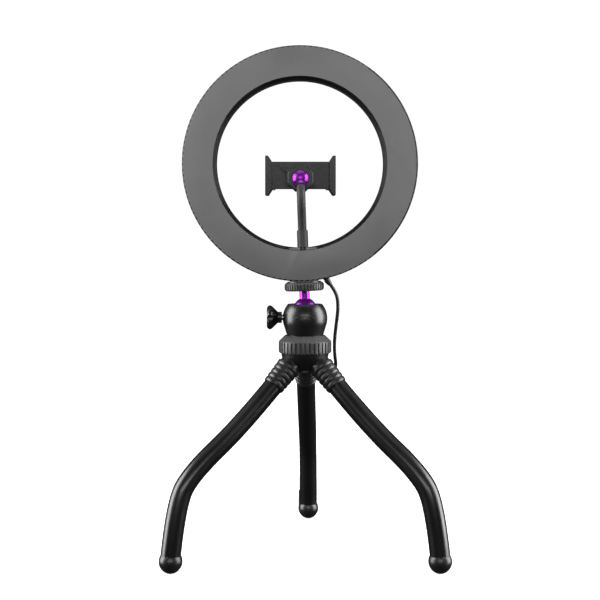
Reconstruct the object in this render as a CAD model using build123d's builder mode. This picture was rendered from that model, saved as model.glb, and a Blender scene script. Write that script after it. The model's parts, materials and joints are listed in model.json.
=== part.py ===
from build123d import *
import math
import os

os.makedirs("parts", exist_ok=True)

# A ring light on a ball head and three bendable legs, seen from behind when looking along +Y.
# Millimetres, +Z up. The feet stand on Z = 0 and the origin is under the middle of the box
# round the object, so the stand's upright axis is a little in front of it.

# ---- Ring ----
RING_R = 100.0
HOLE_R = 71.2
RING_DEPTH = 18.0
SHELL_WALL = 2.0
BACK_EDGE = 1.4
INNER_BEVEL = 2.7
INNER_BEVEL_DEPTH = 5.0
DIFFUSER_FIT = 0.12
DIFFUSER_WALL = 1.6
DIFFUSER_SKIRT = 6.0
BOARD_THICKNESS = 1.6
BOARD_SEAT = 4.6
BOARD_EDGE = 0.8
BOARD_GAP_HALF = 15.0
LED_WIDTH = 2.8
LED_LENGTH = 3.5
LED_HEIGHT = 0.8
LED_COUNT = 48
LED_ROW_OFFSET = 4.6
BOARD_SCREW_COUNT = 6
BOARD_SCREW_R = 1.25
BOARD_POST_R = 3.0
MOUNT_BLOCK_WIDTH = 24.0
MOUNT_BLOCK_FRONT = 5.5
MOUNT_SEAT_PROUD = 0.2

# ---- Ball head ----
BALL_HEIGHT = 207.3
BALL_R = 10.0
BALL_FIT = 0.05
HEAD_ROLL = 2.0
RING_RISE = 124.0
NECK_R = 4.3
NECK_TOP = 15.9
STUD_R = 3.175
STUD_FIT = 0.075
STUD_REACH = 10.0
STUD_DEPTH = 8.0
INSERT_R = 4.5
INSERT_LENGTH = 11.5
DISC_R = 16.8
DISC_RIBS = 40
DISC_RIB_DEPTH = 0.8
PAD_R = 15.8
PAD_THICKNESS = 0.8
HOUSING_R = 19.05
HOUSING_CENTRE = 199.6
HOUSING_TOP = 4.5
HOUSING_FOOT_R = 15.6
SEAT_R = 8.0
SEAT_DEPTH = 13.0
SEAT_RIM = 5.5
KNOB_HEIGHT = 200.4
KNOB_R = 10.2
KNOB_LENGTH = 12.7
KNOB_NECK_R = 4.8
KNOB_LOBES = 6
LOCK_SCREW_R = 2.5
SHOE_R = 3.0
SHOE_LENGTH = 4.4
PIN_FIT = 0.05

# ---- Collar and hub ----
COLLAR_TOP = 185.2
COLLAR_BOTTOM = 170.0
COLLAR_R = 22.5
COLLAR_TOP_R = 17.2
COLLAR_CHAMFER = 5.2
COLLAR_RIBS = 36
COLLAR_RIB_DEPTH = 1.1
HUB_BOSS_R = 15.0
HUB_R = 20.4
HUB_BOTTOM = 157.0
HUB_BOTTOM_R = 12.2
COVER_R = 6.0
COVER_THICKNESS = 3.4
HUB_SCREW_R = 2.5
HUB_SCREW_HEAD_R = 4.2
HUB_SCREW_TOP = 192.5
TURN_GAP = 0.2

# ---- Legs ----
LEG_AZIMUTHS = {"back": 88.3, "left": 210.0, "right": 330.0}
FOOT_REACH = 124.3
LEG_ROUTE = [(17.0, 158.0), (60.0, 114.0), (106.0, 78.0), (119.5, 55.0), (124.3, 13.0)]
SLEEVE_R = 8.3
CORE_R = 3.0
CORE_FIT = 0.1
CORE_INTO_HUB = 13.0
CORE_INTO_FOOT = 7.0
SLEEVE_START = 14.0
BOOT_START = -5.0
BOOT_COLLAR = 3.0
BOOT_END = 20.5
BOOT_NECK_R = SLEEVE_R + 1.0
BOOT_R = SLEEVE_R + 2.3
BOOT_TAPER = 0.24
BOOT_RIBS = 5
BOOT_GROOVE = 0.9
KNEE = (83.2, 95.84)
KNEE_GAP = 0.55
KNEE_STEP = 0.15
FOOT_R = SLEEVE_R + 1.3
FOOT_FLAT = 1.9

# ---- Phone arm and clamp ----
ARM_DEPTH = -3.0
ARM_R = 3.75
SOCKET_R = 5.5
SOCKET_LENGTH = 11.5
SPIGOT_R = 3.0
FERRULE_R = 4.7
FERRULE_LENGTH = 14.7
FERRULE_GRIP = 4.0
ARM_BEND_START = 70.75
ARM_LAST_RUN = 10.1
ARM_RADII = [15.0, 11.4]
CLAMP_BALL_R = 7.8
CLAMP_BALL_HEIGHT = 111.8
CLAMP_BALL_DEPTH = 4.0
CLAMP_RISE = 3.4
CLAMP_NECK_DROP = 35.0
CLAMP_NECK_R = 3.0
CLAMP_FLANGE_R = 4.7
CLAMP_FLANGE_START = 10.6
ARM_END = 14.0
NUT_FLATS = 22.0
NUT_MOUTH = 2.5
NUT_BACK = 8.0
CLAMP_BACK = 9.6
COVER_PLATE = 1.4
CLAMP_PLATE_DEPTH = 9.0
CLAMP_PLATE_HEIGHT = 23.4
CLAMP_TRAY_WALL = 1.8
JAW_GAP = 49.6
JAW_THICKNESS = 5.8
JAW_HEIGHT = 34.0
JAW_REACH = 15.0
JAW_HOOK = 2.6
JAW_TIP = 5.0
JAW_PAD = 1.2
JAW_OPENS = 32.0
TONGUE_FIT = 0.25
TONGUE_THICKNESS = 3.2
TONGUE_LENGTH = 39.0
CLAMP_SCREW_X = 15.4
CLAMP_SCREW_R = 1.25
SPRING_R = 1.4

# ---- Lead, inline control, hank and plug ----
LEAD_R = 1.5
GLAND_ANGLE = 10.6
GLAND_LEAN = 38.0
GLAND_DEPTH = -4.6
GLAND_LENGTH = 5.0
GLAND_R = 2.7
GLAND_TIP_R = 2.0
CONTROL_START = 155.5
LEAD_LAST_RUN = 11.0
CONTROL_LENGTH = 60.0
CONTROL_WIDTH = 15.0
CONTROL_HEIGHT = 8.6
CONTROL_WALL = 1.5
CONTROL_X = 1.8
BUTTON_R = 2.4
BUTTON_PITCH = 13.0
BUTTON_PROUD = 0.7
BUTTON_FLANGE = 0.7
BUTTON_TRAVEL = 0.6
HANK_GAP = 8.0
HANK_LENGTH = 82.0
HANK_COLUMN = 3.15
HANK_WIDTH = 13.4
HANK_HEIGHT = 20.6
HANK_WAIST = 1.0
LEAD_BITE = 3.0
TAIL_BITE = 6.0
TIE_WIDTH = 9.0
TAIL_R = 11.35
PLUG_GRIP_LENGTH = 24.0
PLUG_GRIP_WIDTH = 14.6
PLUG_GRIP_HEIGHT = 7.4
PLUG_SHELL_LENGTH = 18.5
PLUG_SHELL_WIDTH = 12.0
PLUG_SHELL_HEIGHT = 4.5
PLUG_SHELL_WALL = 0.4

# ---- Reference frames ----
foot_ys = [FOOT_REACH * math.sin(math.radians(a)) for a in LEG_AZIMUTHS.values()]
AXIS_Y = -(max(foot_ys) + min(foot_ys)) / 2
STAND_AXIS = Axis((0, AXIS_Y, 0), (0, 0, 1))
STAND_SECTION = Plane(origin=(0, AXIS_Y, 0), x_dir=(1, 0, 0), z_dir=(0, -1, 0))

ROLL = math.radians(HEAD_ROLL)
BALL = Vector(0, AXIS_Y, BALL_HEIGHT)
HEAD_SIDE = Vector(math.cos(ROLL), 0, math.sin(ROLL))
HEAD_UP = Vector(-math.sin(ROLL), 0, math.cos(ROLL))
HEAD_AXIS = Axis(BALL, HEAD_UP)
HEAD_SECTION = Plane(origin=BALL, x_dir=HEAD_SIDE, z_dir=(0, -1, 0))
RING_CENTRE = BALL + HEAD_UP * RING_RISE
RING_AXIS = Axis(RING_CENTRE, (0, 1, 0))
RING_SECTION = Plane(origin=RING_CENTRE, x_dir=HEAD_SIDE, z_dir=HEAD_UP)
ARM_SECTION = Plane(origin=BALL, x_dir=HEAD_UP, z_dir=Vector(0, 0, 0) - HEAD_SIDE)

RING_BACK = -RING_DEPTH / 2
RING_FRONT = RING_DEPTH / 2
SHELL_RIM = RING_FRONT - 1.0
BOARD_BACK = RING_BACK + SHELL_WALL + BOARD_SEAT
BOARD_FRONT = BOARD_BACK + BOARD_THICKNESS
LED_MEAN_R = (RING_R + HOLE_R) / 2
MOUNT_SEAT = RING_RISE - RING_R - MOUNT_SEAT_PROUD
HOLE_FLOOR = RING_RISE - HOLE_R


def level(height):
    """A horizontal plane on the stand's axis."""
    return Plane((0, AXIS_Y, height))


def head_level(rise, depth=0.0):
    """A plane across the ball stem's axis, facing the ring, rise above the ball's centre."""
    return Plane(origin=BALL + HEAD_UP * rise + Vector(0, depth, 0), x_dir=HEAD_SIDE, z_dir=HEAD_UP)


def ring_face(depth):
    """A plane across the ring's axis, facing the front, with +X across the head."""
    return Plane(origin=RING_CENTRE + Vector(0, depth, 0), x_dir=Vector(0, 0, 0) - HEAD_SIDE, z_dir=(0, 1, 0))


def head_upright(depth):
    """A plane through the ball stem's axis at a depth, facing the front."""
    return Plane(origin=BALL + Vector(0, depth, 0), x_dir=Vector(0, 0, 0) - HEAD_SIDE, z_dir=(0, 1, 0))


# ================= Ring =================
SHELL_INNER_R = RING_R - SHELL_WALL
HOLE_WALL_R = HOLE_R + SHELL_WALL

with BuildPart() as back_shell:
    with BuildSketch(RING_SECTION):
        with BuildLine():
            Polyline(
                (RING_R, SHELL_RIM),
                (RING_R, RING_BACK + BACK_EDGE),
                (RING_R - BACK_EDGE * 0.3, RING_BACK + BACK_EDGE * 0.3),
                (RING_R - BACK_EDGE, RING_BACK),
                (HOLE_R + INNER_BEVEL, RING_BACK),
                (HOLE_R, RING_BACK + INNER_BEVEL_DEPTH),
                (HOLE_R, SHELL_RIM),
                (HOLE_WALL_R, SHELL_RIM),
                (HOLE_WALL_R, RING_BACK + INNER_BEVEL_DEPTH + 0.6),
                (HOLE_WALL_R + INNER_BEVEL, RING_BACK + SHELL_WALL),
                (SHELL_INNER_R, RING_BACK + SHELL_WALL),
                (SHELL_INNER_R, SHELL_RIM),
                close=True,
            )
        make_face()
    revolve(axis=RING_AXIS)
    with BuildSketch(ring_face(RING_BACK + SHELL_WALL)):
        with PolarLocations(LED_MEAN_R, BOARD_SCREW_COUNT, start_angle=120):
            Circle(BOARD_POST_R)
    extrude(amount=BOARD_SEAT)
    with BuildSketch(head_upright(RING_BACK + SHELL_WALL / 2)):
        with Locations((0, (MOUNT_SEAT + HOLE_FLOOR - 0.4) / 2)):
            Rectangle(MOUNT_BLOCK_WIDTH, HOLE_FLOOR - 0.4 - MOUNT_SEAT)
    extrude(amount=MOUNT_BLOCK_FRONT - RING_BACK - SHELL_WALL / 2)
    with BuildSketch(ring_face(BOARD_BACK)):
        with PolarLocations(LED_MEAN_R, BOARD_SCREW_COUNT, start_angle=120):
            Circle(BOARD_SCREW_R)
    extrude(amount=-BOARD_SEAT, mode=Mode.SUBTRACT)
    with BuildSketch(head_level(MOUNT_SEAT)):
        Circle(INSERT_R)
    extrude(amount=INSERT_LENGTH, mode=Mode.SUBTRACT)
    with BuildSketch(head_level(HOLE_FLOOR, ARM_DEPTH)):
        Circle(SOCKET_R)
    extrude(amount=-SOCKET_LENGTH, mode=Mode.SUBTRACT)
    with BuildSketch(head_level(HOLE_FLOOR - 1.0, ARM_DEPTH)):
        Circle(SOCKET_R)
    extrude(amount=3.0, mode=Mode.SUBTRACT)
    GLAND_TURN = math.radians(GLAND_ANGLE)
    gland_out = HEAD_SIDE * math.sin(GLAND_TURN) - HEAD_UP * math.cos(GLAND_TURN)
    GLAND_SEAT = RING_CENTRE + gland_out * RING_R + Vector(0, GLAND_DEPTH, 0)
    gland_tilt = math.radians(GLAND_LEAN)
    GLAND_WAY = Vector(math.sin(gland_tilt), 0, -math.cos(gland_tilt))
    GLAND_PLANE = Plane(origin=GLAND_SEAT, x_dir=(0, 1, 0), z_dir=GLAND_WAY)
    with BuildSketch(GLAND_PLANE.offset(-SHELL_WALL * 1.8)):
        Circle(GLAND_TIP_R)
    extrude(amount=SHELL_WALL * 3.6, mode=Mode.SUBTRACT)
back_shell.part.label = "back_shell"
export_step(back_shell.part, "parts/back_shell.step")

with BuildPart() as diffuser:
    inner_r = HOLE_WALL_R + DIFFUSER_FIT
    outer_r = SHELL_INNER_R - DIFFUSER_FIT
    face_back = RING_FRONT - DIFFUSER_WALL
    with BuildSketch(RING_SECTION):
        with BuildLine():
            Polyline(
                (inner_r, RING_FRONT),
                (inner_r, BOARD_FRONT),
                (inner_r + DIFFUSER_WALL, BOARD_FRONT),
                (inner_r + DIFFUSER_WALL, face_back),
                (outer_r - DIFFUSER_WALL, face_back),
                (outer_r - DIFFUSER_WALL, BOARD_FRONT),
                (outer_r, BOARD_FRONT),
                (outer_r, RING_FRONT),
                close=True,
            )
        make_face()
    revolve(axis=RING_AXIS)
    with BuildSketch(head_upright(MOUNT_BLOCK_FRONT + DIFFUSER_FIT)):
        with Locations((0, (MOUNT_SEAT + HOLE_FLOOR) / 2)):
            Rectangle(MOUNT_BLOCK_WIDTH + 2 * DIFFUSER_FIT, HOLE_FLOOR - MOUNT_SEAT + 20)
    extrude(amount=-RING_DEPTH, mode=Mode.SUBTRACT)
diffuser.part.label = "diffuser"
export_step(diffuser.part, "parts/diffuser.step")

with BuildPart() as led_board:
    with BuildSketch(ring_face(BOARD_BACK)):
        Circle(SHELL_INNER_R - BOARD_EDGE)
        Circle(HOLE_WALL_R + BOARD_EDGE, mode=Mode.SUBTRACT)
        with Locations((0, -RING_R)):
            Rectangle(2 * BOARD_GAP_HALF, RING_R, mode=Mode.SUBTRACT)
        with PolarLocations(LED_MEAN_R, BOARD_SCREW_COUNT, start_angle=120):
            Circle(BOARD_SCREW_R, mode=Mode.SUBTRACT)
    extrude(amount=BOARD_THICKNESS)
led_board.part.label = "led_board"
export_step(led_board.part, "parts/led_board.step")

LED_SPAN = 330.0
LED_STEP = LED_SPAN / (LED_COUNT - 1)
LED_FIRST = -90 + (360 - LED_SPAN) / 2

with BuildPart() as warm_leds:
    with BuildSketch(ring_face(BOARD_FRONT)):
        with PolarLocations(LED_MEAN_R - LED_ROW_OFFSET, LED_COUNT, LED_FIRST, LED_SPAN, endpoint=True):
            Rectangle(LED_LENGTH, LED_WIDTH)
    extrude(amount=LED_HEIGHT)
warm_leds.part.label = "warm_leds"
export_step(warm_leds.part, "parts/warm_leds.step")

with BuildPart() as cool_leds:
    with BuildSketch(ring_face(BOARD_FRONT)):
        with PolarLocations(LED_MEAN_R + LED_ROW_OFFSET, LED_COUNT, LED_FIRST, LED_SPAN, endpoint=True):
            Rectangle(LED_LENGTH, LED_WIDTH)
    extrude(amount=LED_HEIGHT)
cool_leds.part.label = "cool_leds"
export_step(cool_leds.part, "parts/cool_leds.step")

with BuildPart() as board_screws:
    with BuildSketch(ring_face(BOARD_BACK - 4.0)):
        with PolarLocations(LED_MEAN_R, BOARD_SCREW_COUNT, start_angle=120):
            Circle(BOARD_SCREW_R)
    extrude(amount=4.0 + BOARD_THICKNESS)
    with BuildSketch(ring_face(BOARD_FRONT)):
        with PolarLocations(LED_MEAN_R, BOARD_SCREW_COUNT, start_angle=120):
            Circle(BOARD_SCREW_R * 1.5)
    extrude(amount=BOARD_SCREW_R)
board_screws.part.label = "board_screws"
export_step(board_screws.part, "parts/board_screws.step")

with BuildPart() as mount_insert:
    with BuildSketch(head_level(MOUNT_SEAT)):
        Circle(INSERT_R)
        Circle(STUD_R + STUD_FIT, mode=Mode.SUBTRACT)
    extrude(amount=INSERT_LENGTH)
mount_insert.part.label = "mount_insert"
export_step(mount_insert.part, "parts/mount_insert.step")

with BuildPart() as arm_socket:
    with BuildSketch(head_level(HOLE_FLOOR, ARM_DEPTH)):
        Circle(SOCKET_R)
        Circle(SPIGOT_R, mode=Mode.SUBTRACT)
    extrude(amount=-SOCKET_LENGTH)
arm_socket.part.label = "arm_socket"
export_step(arm_socket.part, "parts/arm_socket.step")

with BuildPart() as cable_gland:
    with BuildSketch(GLAND_PLANE.offset(-SHELL_WALL * 1.8)):
        Circle(GLAND_TIP_R)
    extrude(amount=SHELL_WALL * 1.8 + 1.2)
    with BuildSketch(GLAND_PLANE.offset(1.2)):
        Circle(GLAND_R)
    with BuildSketch(GLAND_PLANE.offset(1.2 + GLAND_LENGTH)):
        Circle(GLAND_TIP_R)
    loft()
cable_gland.part.label = "cable_gland"
export_step(cable_gland.part, "parts/cable_gland.step")

# ================= Ball head =================
with BuildPart() as mount_stud:
    with BuildSketch(head_level(NECK_TOP - STUD_DEPTH)):
        Circle(STUD_R)
    extrude(amount=STUD_DEPTH + MOUNT_SEAT - NECK_TOP + STUD_REACH)
    chamfer(mount_stud.faces().sort_by(Axis.Z)[-1].edges(), 0.5)
mount_stud.part.label = "mount_stud"
export_step(mount_stud.part, "parts/mount_stud.step")

with BuildPart() as ball_stem:
    with BuildSketch(HEAD_SECTION):
        with BuildLine():
            CenterArc((0, 0), BALL_R, -90, 180)
            Line((0, BALL_R), (0, -BALL_R))
        make_face()
    revolve(axis=HEAD_AXIS)
    with BuildSketch(head_level(BALL_R - 4)):
        Circle(NECK_R)
    extrude(amount=NECK_TOP - BALL_R + 4)
    with BuildSketch(head_level(NECK_TOP)):
        Circle(STUD_R)
    extrude(amount=-STUD_DEPTH, mode=Mode.SUBTRACT)
ball_stem.part.label = "ball_stem"
export_step(ball_stem.part, "parts/ball_stem.step")

DISC_TOP = MOUNT_SEAT - PAD_THICKNESS
DISC_EDGE = 1.4

with BuildPart() as lock_disc:
    with BuildSketch(head_level(NECK_TOP)):
        Circle(DISC_R)
        Circle(STUD_R + STUD_FIT, mode=Mode.SUBTRACT)
    extrude(amount=DISC_TOP - NECK_TOP)
    chamfer(lock_disc.edges().filter_by(GeomType.CIRCLE).sort_by(SortBy.RADIUS)[-2:], DISC_EDGE)
    with BuildSketch(head_level(NECK_TOP)):
        with PolarLocations(DISC_R, DISC_RIBS):
            Circle(DISC_RIB_DEPTH)
    extrude(amount=DISC_TOP - NECK_TOP, mode=Mode.SUBTRACT)
lock_disc.part.label = "lock_disc"
export_step(lock_disc.part, "parts/lock_disc.step")

with BuildPart() as lock_disc_pad:
    with BuildSketch(head_level(DISC_TOP)):
        Circle(PAD_R - DISC_EDGE)
        Circle(STUD_R + STUD_FIT, mode=Mode.SUBTRACT)
    extrude(amount=PAD_THICKNESS)
lock_disc_pad.part.label = "lock_disc_pad"
export_step(lock_disc_pad.part, "parts/lock_disc_pad.step")

HOUSING_BOTTOM = COLLAR_TOP + 2 * TURN_GAP
HOUSING_TOP_Z = BALL_HEIGHT + HOUSING_TOP
HOUSING_TOP_R = math.sqrt(HOUSING_R**2 - (HOUSING_TOP_Z - HOUSING_CENTRE) ** 2)
HOUSING_HIPS_Z = HOUSING_CENTRE - 6.0
HOUSING_HIPS_R = math.sqrt(HOUSING_R**2 - (HOUSING_HIPS_Z - HOUSING_CENTRE) ** 2)
KNOB_LINE = Plane(origin=(0, AXIS_Y, KNOB_HEIGHT), x_dir=(0, 1, 0), z_dir=(-1, 0, 0))
KNOB_START = HOUSING_R + 0.75
SHOE_START = SEAT_R + 0.1

with BuildPart() as ball_housing:
    with BuildSketch(STAND_SECTION):
        with BuildLine():
            Line((0, HOUSING_BOTTOM), (HOUSING_FOOT_R, HOUSING_BOTTOM))
            Line((HOUSING_FOOT_R, HOUSING_BOTTOM), (HOUSING_HIPS_R, HOUSING_HIPS_Z))
            ThreePointArc(
                (HOUSING_HIPS_R, HOUSING_HIPS_Z),
                (HOUSING_R, HOUSING_CENTRE),
                (HOUSING_TOP_R, HOUSING_TOP_Z),
            )
            Line((HOUSING_TOP_R, HOUSING_TOP_Z), (0, HOUSING_TOP_Z))
            Line((0, HOUSING_TOP_Z), (0, HOUSING_BOTTOM))
        make_face()
    revolve(axis=STAND_AXIS)
    with BuildSketch(STAND_SECTION):
        with BuildLine():
            CenterArc((0, BALL_HEIGHT), BALL_R + BALL_FIT, -90, 180)
            Line((0, BALL_HEIGHT + BALL_R + BALL_FIT), (0, BALL_HEIGHT - BALL_R - BALL_FIT))
        make_face()
    revolve(axis=STAND_AXIS, mode=Mode.SUBTRACT)
    with BuildSketch(level(BALL_HEIGHT - SEAT_DEPTH)):
        Circle(SEAT_R)
    extrude(amount=SEAT_DEPTH - SEAT_RIM, mode=Mode.SUBTRACT)
    with BuildSketch(level(HOUSING_BOTTOM)):
        Circle(HUB_SCREW_R + PIN_FIT)
    extrude(amount=HUB_SCREW_TOP + 0.5 - HOUSING_BOTTOM, mode=Mode.SUBTRACT)
    with BuildSketch(KNOB_LINE.offset(SEAT_R - 1)):
        Circle(SHOE_R)
    extrude(amount=SHOE_START + SHOE_LENGTH - SEAT_R + 1, mode=Mode.SUBTRACT)
    with BuildSketch(KNOB_LINE.offset(SEAT_R)):
        Circle(LOCK_SCREW_R + PIN_FIT)
    extrude(amount=HOUSING_R, mode=Mode.SUBTRACT)
ball_housing.part.label = "ball_housing"
export_step(ball_housing.part, "parts/ball_housing.step")

with BuildPart() as ball_seat:
    with BuildSketch(level(BALL_HEIGHT - SEAT_DEPTH)):
        Circle(SEAT_R)
    extrude(amount=SEAT_DEPTH - SEAT_RIM)
    with BuildSketch(STAND_SECTION):
        with BuildLine():
            CenterArc((0, BALL_HEIGHT), BALL_R + BALL_FIT, -90, 180)
            Line((0, BALL_HEIGHT + BALL_R + BALL_FIT), (0, BALL_HEIGHT - BALL_R - BALL_FIT))
        make_face()
    revolve(axis=STAND_AXIS, mode=Mode.SUBTRACT)
ball_seat.part.label = "ball_seat"
export_step(ball_seat.part, "parts/ball_seat.step")

with BuildPart() as pressure_shoe:
    with BuildSketch(KNOB_LINE.offset(SHOE_START)):
        Circle(SHOE_R)
    extrude(amount=SHOE_LENGTH)
    with Locations(BALL):
        Sphere(BALL_R + BALL_FIT, mode=Mode.SUBTRACT)
pressure_shoe.part.label = "pressure_shoe"
export_step(pressure_shoe.part, "parts/pressure_shoe.step")

LOCK_SCREW_START = SHOE_START + SHOE_LENGTH + PIN_FIT
LOCK_SCREW_END = KNOB_START + KNOB_LENGTH - 5.0

with BuildPart() as lock_screw:
    with BuildSketch(KNOB_LINE.offset(LOCK_SCREW_START)):
        Circle(LOCK_SCREW_R)
    extrude(amount=LOCK_SCREW_END - LOCK_SCREW_START)
lock_screw.part.label = "lock_screw"
export_step(lock_screw.part, "parts/lock_screw.step")

KNOB_SECTION = Plane(origin=(0, AXIS_Y, KNOB_HEIGHT), x_dir=(-1, 0, 0), z_dir=(0, -1, 0))
KNOB_AXIS = Axis((0, AXIS_Y, KNOB_HEIGHT), (-1, 0, 0))
KNOB_END = KNOB_START + KNOB_LENGTH

with BuildPart() as lock_knob:
    with BuildSketch(KNOB_SECTION):
        with BuildLine():
            Polyline(
                (KNOB_START, 0),
                (KNOB_START, KNOB_NECK_R),
                (KNOB_START + 3.4, KNOB_NECK_R),
                (KNOB_START + 8.2, KNOB_R - 0.7),
                (KNOB_START + 9.4, KNOB_R),
                (KNOB_END - 1.6, KNOB_R),
                (KNOB_END, KNOB_R - 1.8),
                (KNOB_END - 2.0, KNOB_R - 4.6),
                (KNOB_END - 2.6, 0),
                close=True,
            )
        make_face()
    revolve(axis=KNOB_AXIS)
    with BuildSketch(KNOB_LINE.offset(KNOB_START + 3.6)):
        with PolarLocations(KNOB_R + 2.9, KNOB_LOBES):
            Circle(4.4)
    extrude(amount=KNOB_LENGTH, mode=Mode.SUBTRACT)
    with BuildSketch(KNOB_LINE.offset(KNOB_START)):
        Circle(LOCK_SCREW_R)
    extrude(amount=LOCK_SCREW_END - KNOB_START, mode=Mode.SUBTRACT)
lock_knob.part.label = "lock_knob"
export_step(lock_knob.part, "parts/lock_knob.step")

# ================= Collar and hub =================
with BuildPart() as lock_collar:
    with BuildSketch(STAND_SECTION):
        with BuildLine():
            Polyline(
                (HUB_BOSS_R + 0.1, COLLAR_BOTTOM + TURN_GAP),
                (COLLAR_R - 1.2, COLLAR_BOTTOM + TURN_GAP),
                (COLLAR_R, COLLAR_BOTTOM + TURN_GAP + 1.0),
                (COLLAR_R, COLLAR_TOP - COLLAR_CHAMFER),
                (COLLAR_R - 0.7, COLLAR_TOP - COLLAR_CHAMFER + 0.9),
                (COLLAR_TOP_R, COLLAR_TOP),
                (HUB_BOSS_R + 0.1, COLLAR_TOP),
                close=True,
            )
        make_face()
    revolve(axis=STAND_AXIS)
    with BuildSketch(level(COLLAR_BOTTOM)):
        with PolarLocations(COLLAR_R + 0.25, COLLAR_RIBS):
            Rectangle(2 * COLLAR_RIB_DEPTH, 1.5)
    extrude(amount=COLLAR_TOP - COLLAR_BOTTOM - COLLAR_CHAMFER - 0.2, mode=Mode.SUBTRACT)
lock_collar.part.label = "lock_collar"
export_step(lock_collar.part, "parts/lock_collar.step")

first, second = LEG_ROUTE[0], LEG_ROUTE[1]
root_run = math.dist(first, second)
ROOT_WAY = ((second[0] - first[0]) / root_run, (second[1] - first[1]) / root_run)
last, before_last = LEG_ROUTE[-1], LEG_ROUTE[-2]
foot_run = math.dist(last, before_last)
FOOT_WAY = ((last[0] - before_last[0]) / foot_run, (last[1] - before_last[1]) / foot_run)
CORE_ROUTE = (
    [(first[0] - ROOT_WAY[0] * CORE_INTO_HUB, first[1] - ROOT_WAY[1] * CORE_INTO_HUB)]
    + LEG_ROUTE[1:-1]
    + [(last[0] + FOOT_WAY[0] * CORE_INTO_FOOT, last[1] + FOOT_WAY[1] * CORE_INTO_FOOT)]
)


def corner_radii(route, share=0.45):
    """The arc at each corner: share of the shorter run beside it, over the tangent of half the turn."""
    radii = []
    for before, at, after in zip(route, route[1:], route[2:]):
        into, away = Vector(*at) - Vector(*before), Vector(*after) - Vector(*at)
        half_turn = math.radians(into.get_angle(away)) / 2
        radii.append(share * min(into.length, away.length) / math.tan(half_turn))
    return radii


LEG_RADII = corner_radii(LEG_ROUTE)


def leg_plane(azimuth):
    """The upright plane that a leg lies in: X away from the stand's axis, Y up."""
    out = Vector(math.cos(math.radians(azimuth)), math.sin(math.radians(azimuth)), 0)
    return Plane(origin=(0, AXIS_Y, 0), x_dir=out, z_dir=out.cross(Vector(0, 0, 1)))


def across_leg(azimuth, distance):
    """The plane across a leg's first run, at a distance from where the route begins."""
    plane = leg_plane(azimuth)
    at = (first[0] + ROOT_WAY[0] * distance, first[1] + ROOT_WAY[1] * distance)
    way = plane.x_dir * ROOT_WAY[0] + plane.y_dir * ROOT_WAY[1]
    return Plane(origin=plane.from_local_coords(Vector(at[0], at[1], 0)), x_dir=plane.z_dir, z_dir=way)


with BuildPart() as hub:
    with BuildSketch(STAND_SECTION):
        with BuildLine():
            Polyline(
                (HUB_SCREW_R + PIN_FIT, COLLAR_TOP + TURN_GAP),
                (HUB_SCREW_R + PIN_FIT, HUB_BOTTOM),
                (HUB_BOTTOM_R, HUB_BOTTOM),
                (HUB_R - 3.4, HUB_BOTTOM + 4.6),
                (HUB_R - 0.8, HUB_BOTTOM + 9.4),
                (HUB_R, COLLAR_BOTTOM),
                (HUB_BOSS_R, COLLAR_BOTTOM),
                (HUB_BOSS_R, COLLAR_TOP + TURN_GAP),
                close=True,
            )
        make_face()
    revolve(axis=STAND_AXIS)
    for azimuth in LEG_AZIMUTHS.values():
        with BuildSketch(across_leg(azimuth, -CORE_INTO_HUB)):
            Circle(CORE_R)
        extrude(amount=CORE_INTO_HUB + BOOT_START, mode=Mode.SUBTRACT)
        with BuildSketch(across_leg(azimuth, BOOT_START)):
            Circle(BOOT_NECK_R)
        extrude(amount=BOOT_COLLAR, mode=Mode.SUBTRACT)
        with BuildSketch(across_leg(azimuth, BOOT_START + BOOT_COLLAR)):
            Circle(BOOT_R)
        extrude(amount=BOOT_END, mode=Mode.SUBTRACT)
hub.part.label = "hub"
export_step(hub.part, "parts/hub.step")

with BuildPart() as hub_cover:
    with BuildSketch(level(HUB_BOTTOM - COVER_THICKNESS)):
        Circle(COVER_R)
        Circle(HUB_SCREW_R + PIN_FIT, mode=Mode.SUBTRACT)
    extrude(amount=COVER_THICKNESS)
    with BuildSketch(level(HUB_BOTTOM - COVER_THICKNESS)):
        Circle(HUB_SCREW_HEAD_R)
    extrude(amount=COVER_THICKNESS / 2, mode=Mode.SUBTRACT)
hub_cover.part.label = "hub_cover"
export_step(hub_cover.part, "parts/hub_cover.step")

with BuildPart() as hub_screw:
    with BuildSketch(level(HUB_BOTTOM - COVER_THICKNESS)):
        Circle(HUB_SCREW_HEAD_R)
    extrude(amount=COVER_THICKNESS / 2)
    with BuildSketch(level(HUB_BOTTOM - COVER_THICKNESS / 2)):
        Circle(HUB_SCREW_R)
    extrude(amount=HUB_SCREW_TOP - HUB_BOTTOM + COVER_THICKNESS / 2)
    with BuildSketch(level(HUB_BOTTOM - COVER_THICKNESS)):
        RegularPolygon(1.8, 6)
    extrude(amount=1.2, mode=Mode.SUBTRACT)
hub_screw.part.label = "hub_screw"
export_step(hub_screw.part, "parts/hub_screw.step")

# ================= Legs =================
rib_pitch = (BOOT_END - BOOT_START - BOOT_COLLAR) / BOOT_RIBS
boot_outline = [(BOOT_START, CORE_R), (BOOT_START, BOOT_NECK_R), (BOOT_START + BOOT_COLLAR, BOOT_NECK_R)]
for rib in range(BOOT_RIBS):
    rib_start = BOOT_START + BOOT_COLLAR + rib * rib_pitch
    rib_r = BOOT_R - BOOT_TAPER * rib
    boot_outline += [
        (rib_start + 0.1, rib_r - BOOT_GROOVE),
        (rib_start + 0.9, rib_r - 0.1),
        (rib_start + rib_pitch - 1.2, rib_r - 0.1 - BOOT_TAPER / 2),
        (rib_start + rib_pitch - 0.3, rib_r - BOOT_GROOVE),
    ]
boot_outline += [
    (BOOT_END, SLEEVE_R + CORE_FIT),
    (SLEEVE_START - 0.2, SLEEVE_R + CORE_FIT),
    (SLEEVE_START - 0.2, CORE_R),
]

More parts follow.
